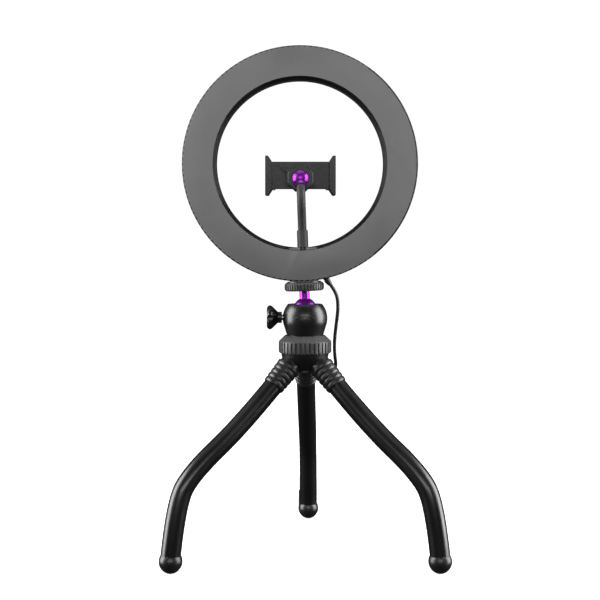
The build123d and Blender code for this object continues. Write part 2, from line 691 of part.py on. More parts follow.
for side, azimuth in LEG_AZIMUTHS.items():
    plane = leg_plane(azimuth)
    root = across_leg(azimuth, 0)
    boot_section = Plane(origin=root.origin, x_dir=root.z_dir, z_dir=plane.z_dir)
    knee_at = plane.from_local_coords(Vector(KNEE[0], KNEE[1], 0))
    knee_run = Vector(*LEG_ROUTE[2]) - Vector(*LEG_ROUTE[1])
    knee_way = (plane.x_dir * knee_run.X + plane.y_dir * knee_run.Y).normalized()
    knee_plane = Plane(origin=knee_at, x_dir=plane.z_dir, z_dir=knee_way)
    foot_way = plane.x_dir * FOOT_WAY[0] + plane.y_dir * FOOT_WAY[1]
    foot_middle = plane.from_local_coords(Vector(FOOT_REACH, math.sqrt(FOOT_R**2 - FOOT_FLAT**2), 0))
    with BuildLine(plane) as leg_line:
        FilletPolyline(*LEG_ROUTE, radius=LEG_RADII)
    with BuildLine(plane) as core_line:
        FilletPolyline(*CORE_ROUTE, radius=LEG_RADII)

    with BuildPart() as boot:
        with BuildSketch(boot_section):
            with BuildLine():
                Polyline(*boot_outline, close=True)
            make_face()
        revolve(axis=Axis(root.origin, root.z_dir))
    boot.part.label = f"{side}_leg_boot"
    export_step(boot.part, f"parts/{side}_leg_boot.step")

    with BuildPart() as core:
        with BuildSketch(across_leg(azimuth, -CORE_INTO_HUB)):
            Circle(CORE_R)
        sweep(path=core_line.line)
    core.part.label = f"{side}_leg_core"
    export_step(core.part, f"parts/{side}_leg_core.step")

    with BuildPart() as sleeve_upper:
        with BuildSketch(across_leg(azimuth, 0)):
            Circle(SLEEVE_R)
            Circle(CORE_R + CORE_FIT, mode=Mode.SUBTRACT)
        sweep(path=leg_line.line)
        split(bisect_by=knee_plane, keep=Keep.BOTTOM)
        split(bisect_by=across_leg(azimuth, SLEEVE_START), keep=Keep.TOP)
        with Locations(knee_at):
            Sphere(SLEEVE_R + KNEE_GAP, mode=Mode.SUBTRACT)
    sleeve_upper.part.label = f"{side}_leg_sleeve_upper"
    export_step(sleeve_upper.part, f"parts/{side}_leg_sleeve_upper.step")

    with BuildPart() as sleeve_lower:
        with BuildSketch(across_leg(azimuth, 0)):
            Circle(SLEEVE_R)
        sweep(path=leg_line.line)
        split(bisect_by=knee_plane, keep=Keep.TOP)
        with Locations(knee_at):
            Sphere(SLEEVE_R - KNEE_STEP)
        with BuildSketch(across_leg(azimuth, -CORE_INTO_HUB)):
            Circle(CORE_R + CORE_FIT)
        sweep(path=core_line.line, mode=Mode.SUBTRACT)
    sleeve_lower.part.label = f"{side}_leg_sleeve_lower"
    export_step(sleeve_lower.part, f"parts/{side}_leg_sleeve_lower.step")

    with BuildPart() as foot:
        with Locations(foot_middle):
            Sphere(FOOT_R)
        split(bisect_by=Plane.XY, keep=Keep.TOP)
        sleeve_end = Plane(origin=plane.from_local_coords(Vector(*last)), x_dir=plane.z_dir, z_dir=foot_way)
        with BuildSketch(sleeve_end):
            Circle(SLEEVE_R)
        extrude(amount=-FOOT_R, mode=Mode.SUBTRACT)
        with BuildSketch(sleeve_end):
            Circle(CORE_R)
        extrude(amount=CORE_INTO_FOOT, mode=Mode.SUBTRACT)
    foot.part.label = f"{side}_foot"
    export_step(foot.part, f"parts/{side}_foot.step")

# ================= Phone arm =================
drop = math.radians(CLAMP_NECK_DROP)
CLAMP_BALL_AT = BALL + HEAD_UP * CLAMP_BALL_HEIGHT + Vector(0, CLAMP_BALL_DEPTH, 0)
NECK_WAY = Vector(0, -math.cos(drop), 0) - HEAD_UP * math.sin(drop)
NECK_PLANE = Plane(origin=CLAMP_BALL_AT, x_dir=HEAD_SIDE, z_dir=NECK_WAY)

with BuildPart() as arm_ferrule:
    with BuildSketch(head_level(HOLE_FLOOR - SOCKET_LENGTH + 1.0, ARM_DEPTH)):
        Circle(SPIGOT_R)
    extrude(amount=SOCKET_LENGTH - 1.0)
    with BuildSketch(head_level(HOLE_FLOOR, ARM_DEPTH)):
        Circle(FERRULE_R)
    extrude(amount=FERRULE_LENGTH)
    chamfer(arm_ferrule.faces().sort_by(Axis.Z)[-1].edges(), 0.6)
    with BuildSketch(head_level(HOLE_FLOOR + FERRULE_LENGTH, ARM_DEPTH)):
        Circle(ARM_R)
    extrude(amount=-FERRULE_GRIP, mode=Mode.SUBTRACT)
arm_ferrule.part.label = "arm_ferrule"
export_step(arm_ferrule.part, "parts/arm_ferrule.step")

ARM_START = HOLE_FLOOR + FERRULE_LENGTH - FERRULE_GRIP
arm_tip = (
    CLAMP_BALL_HEIGHT - math.sin(drop) * ARM_END,
    CLAMP_BALL_DEPTH - math.cos(drop) * ARM_END,
)
arm_corner = (
    arm_tip[0] - math.sin(drop) * ARM_LAST_RUN,
    arm_tip[1] - math.cos(drop) * ARM_LAST_RUN,
)
ARM_PLANE = Plane(origin=BALL, x_dir=HEAD_UP, z_dir=HEAD_UP.cross(Vector(0, 1, 0)))

with BuildPart() as gooseneck:
    with BuildLine(ARM_PLANE) as arm_line:
        FilletPolyline(
            (ARM_START, ARM_DEPTH),
            (ARM_BEND_START, ARM_DEPTH),
            arm_corner,
            arm_tip,
            radius=ARM_RADII,
        )
    with BuildSketch(head_level(ARM_START, ARM_DEPTH)):
        Circle(ARM_R)
    sweep(path=arm_line.line)
gooseneck.part.label = "gooseneck"
export_step(gooseneck.part, "parts/gooseneck.step")

with BuildPart() as clamp_ball:
    with Locations(CLAMP_BALL_AT):
        Sphere(CLAMP_BALL_R)
    with BuildSketch(NECK_PLANE.offset(CLAMP_BALL_R - 2)):
        Circle(CLAMP_NECK_R)
    extrude(amount=CLAMP_FLANGE_START - CLAMP_BALL_R + 2)
    with BuildSketch(NECK_PLANE.offset(CLAMP_FLANGE_START)):
        Circle(CLAMP_FLANGE_R)
    extrude(amount=ARM_END - CLAMP_FLANGE_START)
clamp_ball.part.label = "clamp_ball"
export_step(clamp_ball.part, "parts/clamp_ball.step")

# ================= Phone clamp, square to the room =================
CLAMP_CENTRE = CLAMP_BALL_AT + Vector(0, 0, CLAMP_RISE)


def nut_face(depth):
    """An upright plane through the nut, depth in front of the ball, facing the front."""
    return Plane(origin=CLAMP_BALL_AT + Vector(0, depth, 0), x_dir=(-1, 0, 0), z_dir=(0, 1, 0))


def clamp_face(depth):
    """An upright plane through the clamp, depth in front of its ball, facing the front."""
    return Plane(origin=CLAMP_CENTRE + Vector(0, depth, 0), x_dir=(-1, 0, 0), z_dir=(0, 1, 0))


def clamp_level(rise):
    """A level plane through the clamp, with X across it and Y towards the front."""
    return Plane(origin=CLAMP_CENTRE + Vector(0, 0, rise))


NUT_THREAD_R = CLAMP_BALL_R + 0.4

with BuildPart() as ball_nut:
    with BuildSketch(nut_face(-NUT_MOUTH)):
        RegularPolygon(NUT_FLATS / 2, 8, major_radius=False, rotation=22.5)
    extrude(amount=NUT_MOUTH + NUT_BACK)
    chamfer(ball_nut.faces().sort_by(Axis.Y)[0].edges(), 0.8)
    with Locations(CLAMP_BALL_AT):
        Sphere(CLAMP_BALL_R + BALL_FIT, mode=Mode.SUBTRACT)
    with BuildSketch(nut_face(0)):
        Circle(NUT_THREAD_R)
    extrude(amount=NUT_BACK, mode=Mode.SUBTRACT)
ball_nut.part.label = "ball_nut"
export_step(ball_nut.part, "parts/ball_nut.step")

HALF_GAP = JAW_GAP / 2
PLATE_BACK = CLAMP_BACK + COVER_PLATE
PLATE_FRONT = PLATE_BACK + CLAMP_PLATE_DEPTH
TRAY_HEIGHT = CLAMP_PLATE_HEIGHT - 2 * CLAMP_TRAY_WALL
TONGUE_BACK = PLATE_BACK + 2.2
BOSS_R = NUT_THREAD_R - 0.05
BOSS_START = CLAMP_BALL_R + 0.3 - 5.0
jaw_outline = [
    (0, -JAW_HEIGHT / 2),
    (JAW_THICKNESS * 0.45, -JAW_HEIGHT / 2),
    (JAW_THICKNESS, -JAW_HEIGHT / 2 + JAW_TIP),
    (JAW_THICKNESS, JAW_HEIGHT / 2 - JAW_TIP),
    (JAW_THICKNESS * 0.45, JAW_HEIGHT / 2),
    (0, JAW_HEIGHT / 2),
]
left_jaw = [(HALF_GAP + JAW_THICKNESS - x, z) for x, z in jaw_outline]
right_jaw = [(-HALF_GAP - JAW_THICKNESS + x, z) for x, z in jaw_outline]

with BuildPart() as clamp_body:
    with BuildSketch(clamp_face(PLATE_BACK)):
        with Locations((JAW_THICKNESS / 2, 0)):
            Rectangle(JAW_GAP + JAW_THICKNESS - 0.6, CLAMP_PLATE_HEIGHT)
    extrude(amount=CLAMP_PLATE_DEPTH)
    with BuildSketch(clamp_face(CLAMP_BACK)):
        with BuildLine():
            Polyline(*left_jaw, close=True)
        make_face()
    extrude(amount=COVER_PLATE + CLAMP_PLATE_DEPTH + JAW_REACH)
    with BuildSketch(clamp_face(PLATE_BACK)):
        with Locations((-JAW_THICKNESS, 0)):
            Rectangle(JAW_GAP, TRAY_HEIGHT)
    extrude(amount=CLAMP_PLATE_DEPTH - 2.2, mode=Mode.SUBTRACT)
    with BuildSketch(clamp_face(PLATE_BACK)):
        with Locations((CLAMP_SCREW_X, TRAY_HEIGHT / 2 - 2), (-CLAMP_SCREW_X, TRAY_HEIGHT / 2 - 2)):
            Circle(2.4)
    extrude(amount=CLAMP_PLATE_DEPTH - 1.0)
    with BuildSketch(clamp_face(PLATE_BACK)):
        with Locations((CLAMP_SCREW_X, TRAY_HEIGHT / 2 - 2), (-CLAMP_SCREW_X, TRAY_HEIGHT / 2 - 2)):
            Circle(CLAMP_SCREW_R)
    extrude(amount=5.0, mode=Mode.SUBTRACT)
    with BuildSketch(clamp_level(0)):
        hook_x = -HALF_GAP
        hook_y = PLATE_FRONT + JAW_REACH
        with BuildLine():
            Polyline(
                (hook_x - 1.0, hook_y),
                (hook_x + JAW_HOOK, hook_y),
                (hook_x + JAW_HOOK, hook_y - 1.6),
                (hook_x, hook_y - 4.0),
                (hook_x - 1.0, hook_y - 4.0),
                close=True,
            )
        make_face()
    extrude(amount=JAW_HEIGHT / 2 - JAW_TIP, both=True)
clamp_body.part.label = "clamp_body"
export_step(clamp_body.part, "parts/clamp_body.step")

with BuildPart() as clamp_cover:
    with BuildSketch(clamp_face(CLAMP_BACK)):
        Rectangle(JAW_GAP - 0.6, CLAMP_PLATE_HEIGHT)
        with Locations((CLAMP_SCREW_X, TRAY_HEIGHT / 2 - 2), (-CLAMP_SCREW_X, TRAY_HEIGHT / 2 - 2)):
            Circle(CLAMP_SCREW_R, mode=Mode.SUBTRACT)
    extrude(amount=COVER_PLATE)
    with BuildSketch(nut_face(CLAMP_BACK)):
        Circle(BOSS_R)
    extrude(amount=-(CLAMP_BACK - BOSS_START))
    with Locations(CLAMP_BALL_AT):
        Sphere(CLAMP_BALL_R + BALL_FIT, mode=Mode.SUBTRACT)
clamp_cover.part.label = "clamp_cover"
export_step(clamp_cover.part, "parts/clamp_cover.step")

with BuildPart() as clamp_screws:
    with BuildSketch(clamp_face(CLAMP_BACK)):
        with Locations((CLAMP_SCREW_X, TRAY_HEIGHT / 2 - 2), (-CLAMP_SCREW_X, TRAY_HEIGHT / 2 - 2)):
            Circle(CLAMP_SCREW_R)
    extrude(amount=5.0)
    with BuildSketch(clamp_face(CLAMP_BACK)):
        with Locations((CLAMP_SCREW_X, TRAY_HEIGHT / 2 - 2), (-CLAMP_SCREW_X, TRAY_HEIGHT / 2 - 2)):
            Circle(CLAMP_SCREW_R * 1.8)
    extrude(amount=-0.9)
clamp_screws.part.label = "clamp_screws"
export_step(clamp_screws.part, "parts/clamp_screws.step")

TONGUE_HEIGHT = TRAY_HEIGHT - 9.0

with BuildPart() as sliding_jaw:
    with BuildSketch(clamp_face(CLAMP_BACK)):
        with BuildLine():
            Polyline(*right_jaw, close=True)
        make_face()
    extrude(amount=COVER_PLATE + CLAMP_PLATE_DEPTH + JAW_REACH)
    with BuildSketch(clamp_face(TONGUE_BACK)):
        with Locations((-HALF_GAP + TONGUE_LENGTH / 2, -2.4)):
            Rectangle(TONGUE_LENGTH + 2, TONGUE_HEIGHT)
    extrude(amount=TONGUE_THICKNESS)
    with BuildSketch(clamp_level(0)):
        hook_x = HALF_GAP
        with BuildLine():
            Polyline(
                (hook_x + 1.0, hook_y),
                (hook_x - JAW_HOOK, hook_y),
                (hook_x - JAW_HOOK, hook_y - 1.6),
                (hook_x, hook_y - 4.0),
                (hook_x + 1.0, hook_y - 4.0),
                close=True,
            )
        make_face()
    extrude(amount=JAW_HEIGHT / 2 - JAW_TIP, both=True)
sliding_jaw.part.label = "sliding_jaw"
export_step(sliding_jaw.part, "parts/sliding_jaw.step")

PAD_LENGTH = JAW_REACH - 5.0
PAD_HEIGHT = JAW_HEIGHT - 2 * JAW_TIP - 1.0

with BuildPart() as fixed_jaw_pad:
    with BuildSketch(clamp_level(0)):
        with Locations((-HALF_GAP + JAW_PAD / 2, PLATE_FRONT + 0.5 + PAD_LENGTH / 2)):
            Rectangle(JAW_PAD, PAD_LENGTH)
    extrude(amount=PAD_HEIGHT / 2, both=True)
fixed_jaw_pad.part.label = "fixed_jaw_pad"
export_step(fixed_jaw_pad.part, "parts/fixed_jaw_pad.step")

with BuildPart() as sliding_jaw_pad:
    with BuildSketch(clamp_level(0)):
        with Locations((HALF_GAP - JAW_PAD / 2, PLATE_FRONT + 0.5 + PAD_LENGTH / 2)):
            Rectangle(JAW_PAD, PAD_LENGTH)
    extrude(amount=PAD_HEIGHT / 2, both=True)
sliding_jaw_pad.part.label = "sliding_jaw_pad"
export_step(sliding_jaw_pad.part, "parts/sliding_jaw_pad.step")

SPRING_RISE = TRAY_HEIGHT / 2 - SPRING_R - 2.4

with BuildPart() as clamp_spring:
    spring_plane = Plane(
        origin=CLAMP_CENTRE + Vector(-CLAMP_SCREW_X + 3.2, TONGUE_BACK + TONGUE_THICKNESS / 2, SPRING_RISE),
        x_dir=(0, 1, 0),
        z_dir=(1, 0, 0),
    )
    with BuildSketch(spring_plane):
        Circle(SPRING_R)
        Circle(SPRING_R - 0.5, mode=Mode.SUBTRACT)
    extrude(amount=2 * CLAMP_SCREW_X - 6.4)
clamp_spring.part.label = "clamp_spring"
export_step(clamp_spring.part, "parts/clamp_spring.step")

# ================= Lead, inline control, hank and plug =================
# The lead hangs beside the head, turns behind the hub, lies along the top of the back leg
# and reaches the floor behind the back foot.
GLAND_END = GLAND_SEAT + GLAND_WAY * (GLAND_LENGTH + 1.2)
CONTROL_MIDDLE = CONTROL_START + CONTROL_LENGTH / 2
LEAD_HEIGHT = CONTROL_HEIGHT / 2
LEAD_ROUTE = [
    (GLAND_END.X, GLAND_DEPTH, GLAND_END.Z),
    (GLAND_END.X + GLAND_WAY.X * 9.0, GLAND_DEPTH, GLAND_END.Z + GLAND_WAY.Z * 9.0),
    (28.3, -2.2, 209.0),
    (26.7, 1.0, 195.0),
    (25.2, 4.6, 181.0),
    (25.4, 7.4, 168.0),
    (27.2, 12.5, 157.0),
    (23.0, 25.0, 149.8),
    (11.5, 38.5, 146.2),
    (4.2, 54.0, 136.0),
    (1.8, 70.5, 119.8),
    (1.9, 88.0, 105.6),
    (2.4, 106.0, 91.4),
    (2.9, 121.0, 76.0),
    (3.2, 130.5, 56.0),
    (3.3, 134.9, 35.0),
    (3.2, 137.0, 14.5),
    (CONTROL_X, CONTROL_START - LEAD_LAST_RUN, LEAD_HEIGHT),
    (CONTROL_X, CONTROL_START, LEAD_HEIGHT),
]
lead_points = [Vector(x, y + AXIS_Y, z) for x, y, z in LEAD_ROUTE]


def route_radii(points, share=0.45):
    """The arc at each corner of a route in space."""
    radii = []
    for before, at, after in zip(points, points[1:], points[2:]):
        into, away = at - before, after - at
        half_turn = math.radians(into.get_angle(away)) / 2
        radii.append(share * min(into.length, away.length) / math.tan(half_turn))
    return radii


lead_radii = route_radii(lead_points)
print("lead arcs, in diameters:", [round(r / LEAD_R / 2, 1) for r in lead_radii])

with BuildPart() as lead:
    with BuildLine() as lead_line:
        FilletPolyline(*lead_points, radius=lead_radii)
    lead_start = Plane(origin=lead_points[0], z_dir=lead_points[1] - lead_points[0])
    with BuildSketch(lead_start):
        Circle(LEAD_R)
    sweep(path=lead_line.line)
lead_length = sum(edge.length for edge in lead_line.line.edges())
print("lead length", round(lead_length, 1), "volume ratio",
      round(lead.part.volume / (math.pi * LEAD_R**2 * lead_length), 4))
lead.part.label = "lead"
export_step(lead.part, "parts/lead.step")


def control_level(height, along):
    """A level plane on the inline control's middle line."""
    return Plane((CONTROL_X, AXIS_Y + along, height))


CONTROL_END = CONTROL_START + CONTROL_LENGTH
CONTROL_SPLIT = CONTROL_HEIGHT / 2

with BuildPart() as control_base:
    with BuildSketch(control_level(0, CONTROL_MIDDLE)):
        RectangleRounded(CONTROL_WIDTH, CONTROL_LENGTH, 4.0)
    extrude(amount=CONTROL_SPLIT)
    with BuildSketch(control_level(CONTROL_WALL, CONTROL_MIDDLE)):
        RectangleRounded(CONTROL_WIDTH - 2 * CONTROL_WALL, CONTROL_LENGTH - 2 * CONTROL_WALL, 2.5)
    extrude(amount=CONTROL_SPLIT, mode=Mode.SUBTRACT)
control_base.part.label = "control_base"
export_step(control_base.part, "parts/control_base.step")

BUTTONS = {"brighter_button": BUTTON_PITCH, "power_button": 0.0, "dimmer_button": -BUTTON_PITCH}

with BuildPart() as control_cover:
    with BuildSketch(control_level(CONTROL_SPLIT, CONTROL_MIDDLE)):
        RectangleRounded(CONTROL_WIDTH, CONTROL_LENGTH, 4.0)
    extrude(amount=CONTROL_HEIGHT - CONTROL_SPLIT)
    chamfer(control_cover.faces().sort_by(Axis.Z)[-1].edges(), 1.0)
    with BuildSketch(control_level(CONTROL_SPLIT, CONTROL_MIDDLE)):
        RectangleRounded(CONTROL_WIDTH - 2 * CONTROL_WALL, CONTROL_LENGTH - 2 * CONTROL_WALL, 2.5)
    extrude(amount=CONTROL_HEIGHT - CONTROL_WALL - CONTROL_SPLIT, mode=Mode.SUBTRACT)
    with BuildSketch(control_level(CONTROL_SPLIT, CONTROL_MIDDLE)):
        with Locations(*[(0, along) for along in BUTTONS.values()]):
            Circle(BUTTON_R + 0.1)
    extrude(amount=CONTROL_HEIGHT, mode=Mode.SUBTRACT)
control_cover.part.label = "control_cover"
export_step(control_cover.part, "parts/control_cover.step")

BUTTON_SEAT = CONTROL_HEIGHT - CONTROL_WALL - BUTTON_FLANGE - 0.05

for button_name, along in BUTTONS.items():
    with BuildPart() as button:
        with BuildSketch(control_level(BUTTON_SEAT, CONTROL_MIDDLE + along)):
            Circle(BUTTON_R + 0.9)
        extrude(amount=BUTTON_FLANGE)
        with BuildSketch(control_level(BUTTON_SEAT + BUTTON_FLANGE, CONTROL_MIDDLE + along)):
            Circle(BUTTON_R)
        extrude(amount=CONTROL_WALL + 0.05 + BUTTON_PROUD)
        chamfer(button.faces().sort_by(Axis.Z)[-1].edges(), 0.4)
    button.part.label = button_name
    export_step(button.part, f"parts/{button_name}.step")

HANK_START = CONTROL_END + HANK_GAP
HANK_END = HANK_START + HANK_LENGTH
HANK_MIDDLE = (HANK_START + HANK_END) / 2
HANK_X = CONTROL_X + 1.5 * HANK_COLUMN
PLUG_X = HANK_X - 0.5 * HANK_COLUMN
HANK_PLANE = Plane(origin=(HANK_X, AXIS_Y + HANK_MIDDLE, 0), x_dir=(0, 1, 0), z_dir=(1, 0, 0))

TIE_PLANE = Plane(
    origin=(HANK_X, AXIS_Y + HANK_MIDDLE + TIE_WIDTH / 2, 0),
    x_dir=(1, 0, 0),
    z_dir=(0, -1, 0),
)


def plug_section(along):
    """An upright plane across the plug, facing back towards the stand."""
    return Plane(origin=(PLUG_X, AXIS_Y + along, PLUG_HEIGHT), x_dir=(1, 0, 0), z_dir=(0, -1, 0))


with BuildPart() as lead_to_hank:
    with BuildSketch(Plane(origin=(CONTROL_X, AXIS_Y + CONTROL_END, LEAD_HEIGHT), z_dir=(0, 1, 0))):
        Circle(LEAD_R)
    extrude(amount=HANK_GAP + LEAD_BITE)
lead_to_hank.part.label = "lead_to_hank"
export_step(lead_to_hank.part, "parts/lead_to_hank.step")

with BuildPart() as hank:
    with BuildSketch(HANK_PLANE):
        with Locations((0, HANK_HEIGHT / 2)):
            RectangleRounded(HANK_LENGTH, HANK_HEIGHT, HANK_HEIGHT / 2 - 0.3)
    extrude(amount=HANK_WIDTH / 2, both=True)
    with BuildSketch(TIE_PLANE):
        with Locations((0, HANK_HEIGHT / 2)):
            Rectangle(2 * HANK_WIDTH, 2 * HANK_HEIGHT)
            Rectangle(HANK_WIDTH - 2 * HANK_WAIST, HANK_HEIGHT - 2 * HANK_WAIST, mode=Mode.SUBTRACT)
    extrude(amount=TIE_WIDTH, mode=Mode.SUBTRACT)
hank.part.label = "hank"
export_step(hank.part, "parts/hank.step")

with BuildPart() as hank_tie:
    with BuildSketch(TIE_PLANE):
        with Locations((0, HANK_HEIGHT / 2)):
            Rectangle(HANK_WIDTH, HANK_HEIGHT)
            Rectangle(HANK_WIDTH - 2 * HANK_WAIST, HANK_HEIGHT - 2 * HANK_WAIST, mode=Mode.SUBTRACT)
    extrude(amount=TIE_WIDTH)
hank_tie.part.label = "hank_tie"
export_step(hank_tie.part, "parts/hank_tie.step")

PLUG_HEIGHT = HANK_HEIGHT + PLUG_GRIP_HEIGHT / 2
TAIL_BOTTOM = PLUG_HEIGHT - 2 * TAIL_R
PLUG_TAIL = HANK_END - 1.0

with BuildPart() as plug_tail:
    tail_plane = Plane(origin=(PLUG_X, AXIS_Y, 0), x_dir=(0, 1, 0), z_dir=(1, 0, 0))
    with BuildLine(tail_plane) as tail_line:
        Line((HANK_END - TAIL_BITE, TAIL_BOTTOM), (HANK_END + 1.0, TAIL_BOTTOM))
        ThreePointArc(
            (HANK_END + 1.0, TAIL_BOTTOM),
            (HANK_END + 1.0 + TAIL_R, TAIL_BOTTOM + TAIL_R),
            (HANK_END + 1.0, PLUG_HEIGHT),
        )
        Line((HANK_END + 1.0, PLUG_HEIGHT), (PLUG_TAIL, PLUG_HEIGHT))
    with BuildSketch(Plane(origin=(PLUG_X, AXIS_Y + HANK_END - TAIL_BITE, TAIL_BOTTOM), z_dir=(0, 1, 0))):
        Circle(LEAD_R)
    sweep(path=tail_line.line)
plug_tail.part.label = "plug_tail"
export_step(plug_tail.part, "parts/plug_tail.step")

with BuildPart() as plug_grip:
    with BuildSketch(plug_section(PLUG_TAIL)):
        RectangleRounded(PLUG_GRIP_WIDTH, PLUG_GRIP_HEIGHT, 2.0)
    extrude(amount=PLUG_GRIP_LENGTH)
plug_grip.part.label = "plug_grip"
export_step(plug_grip.part, "parts/plug_grip.step")

shell_start = PLUG_TAIL - PLUG_GRIP_LENGTH
with BuildPart() as plug_shell:
    with BuildSketch(plug_section(shell_start)):
        Rectangle(PLUG_SHELL_WIDTH, PLUG_SHELL_HEIGHT)
    extrude(amount=PLUG_SHELL_LENGTH)
    with BuildSketch(plug_section(shell_start - 1.0)):
        Rectangle(PLUG_SHELL_WIDTH - 2 * PLUG_SHELL_WALL, PLUG_SHELL_HEIGHT - 2 * PLUG_SHELL_WALL)
    extrude(amount=PLUG_SHELL_LENGTH, mode=Mode.SUBTRACT)
    with BuildSketch(plug_section(shell_start - 1.0)):
        with Locations((0, -0.9)):
            Rectangle(PLUG_SHELL_WIDTH - 2 * PLUG_SHELL_WALL, 1.8)
    extrude(amount=PLUG_SHELL_LENGTH - 2.0)
plug_shell.part.label = "plug_shell"
export_step(plug_shell.part, "parts/plug_shell.step")
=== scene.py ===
import json
import math

import bpy
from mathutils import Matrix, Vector


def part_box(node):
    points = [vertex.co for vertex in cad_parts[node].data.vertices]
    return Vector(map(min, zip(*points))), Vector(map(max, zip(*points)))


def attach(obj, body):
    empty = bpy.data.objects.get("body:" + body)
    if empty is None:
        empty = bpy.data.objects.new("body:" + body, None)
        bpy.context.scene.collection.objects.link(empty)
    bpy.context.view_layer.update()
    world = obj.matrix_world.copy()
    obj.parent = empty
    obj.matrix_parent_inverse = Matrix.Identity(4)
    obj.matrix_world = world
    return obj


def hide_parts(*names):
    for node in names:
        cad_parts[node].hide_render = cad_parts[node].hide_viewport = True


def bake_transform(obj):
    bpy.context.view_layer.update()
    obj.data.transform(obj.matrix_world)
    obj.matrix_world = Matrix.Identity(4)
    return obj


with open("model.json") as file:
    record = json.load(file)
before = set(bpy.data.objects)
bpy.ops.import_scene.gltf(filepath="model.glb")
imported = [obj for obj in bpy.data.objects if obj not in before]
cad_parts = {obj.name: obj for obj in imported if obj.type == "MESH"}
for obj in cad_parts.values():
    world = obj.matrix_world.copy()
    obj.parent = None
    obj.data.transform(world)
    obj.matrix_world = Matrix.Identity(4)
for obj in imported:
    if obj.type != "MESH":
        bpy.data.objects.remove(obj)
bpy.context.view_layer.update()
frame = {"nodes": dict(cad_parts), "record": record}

nodes = frame["nodes"]
record = frame["record"]
hinges = {joint["name"]: joint for joint in record["behaviour"]["joints"]}
bodies = record["behaviour"]["bodies"]
body_of = {node: body for body, names in bodies.items() for node in names}
slot_of = {part["node"]: part["material_slot"] for part in record["subparts"]}

MM = 0.001

# The camera is level, in front of the stand and a little to the left of its axis.
EYE_DISTANCE = 980.5 * MM
EYE_HEIGHT = 262.5 * MM
EYE_SIDE = -4.3 * MM
LENS = 69.0
VIEW_SHIFT = -0.0925

# The stand's upright axis, the head's ball and the directions of the leaning ring.
AXIS_Y = (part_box("hub")[0].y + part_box("hub")[1].y) / 2
BALL = Vector(hinges["tilt"]["pos_m"])
HEAD_UP = Vector(hinges["ring_spin"]["axis"])
HEAD_SIDE = Vector(hinges["arm_bend"]["axis"])
LEG_SIDES = {"back": 88.3, "left": 210.0, "right": 330.0}


# ---------------- Finishes ----------------

# How fine the drift of a finish's colour is.
DRIFT = 28.0


def add_node(tree, kind, inputs=None, **settings):
    """One shader node, with its inputs set or linked."""
    node = tree.nodes.new(kind)
    for name, value in settings.items():
        setattr(node, name, value)
    for name, value in (inputs or {}).items():
        if isinstance(value, bpy.types.NodeSocket):
            tree.links.new(value, node.inputs[name])
        else:
            node.inputs[name].default_value = value
    return node


def moulded(name, dark, light, roughness, grain=2600.0, grain_depth=0.012, metallic=0.0, **shader_values):
    """A finish whose colour drifts between two shades, with uneven gloss and a fine grain."""
    material = bpy.data.materials.new(name)
    material.use_nodes = True
    tree = material.node_tree
    shader = tree.nodes["Principled BSDF"]
    shader.inputs["Metallic"].default_value = metallic
    for socket, value in shader_values.items():
        shader.inputs[socket.replace("_", " ")].default_value = value
    place = tree.nodes.new("ShaderNodeTexCoord").outputs["Object"]
    cloud = add_node(tree, "ShaderNodeTexNoise", {
        "Vector": place,
        "Scale": DRIFT,
        "Detail": 5.0,
        "Roughness": 0.6,
    })
    shade = add_node(tree, "ShaderNodeValToRGB", {"Fac": cloud.outputs["Fac"]})
    shade.color_ramp.elements[0].position = 0.32
    shade.color_ramp.elements[0].color = (*dark, 1)
    shade.color_ramp.elements[1].position = 0.68
    shade.color_ramp.elements[1].color = (*light, 1)
    tree.links.new(shade.outputs["Color"], shader.inputs["Base Color"])
    speckle = add_node(tree, "ShaderNodeTexNoise", {
        "Vector": place,
        "Scale": grain,
        "Detail": 3.0,
        "Roughness": 0.6,
    })
    gloss = add_node(tree, "ShaderNodeMapRange", {
        "Value": cloud.outputs["Fac"],
        "From Min": 0.3,
        "From Max": 0.7,
        "To Min": roughness * 0.88,
        "To Max": min(1.0, roughness * 1.12),
    })
    tree.links.new(gloss.outputs["Result"], shader.inputs["Roughness"])
    bump = add_node(tree, "ShaderNodeBump", {
        "Height": speckle.outputs["Fac"],
        "Strength": 0.35,
        "Distance": grain_depth * MM,
    })
    tree.links.new(bump.outputs["Normal"], shader.inputs["Normal"])
    return material


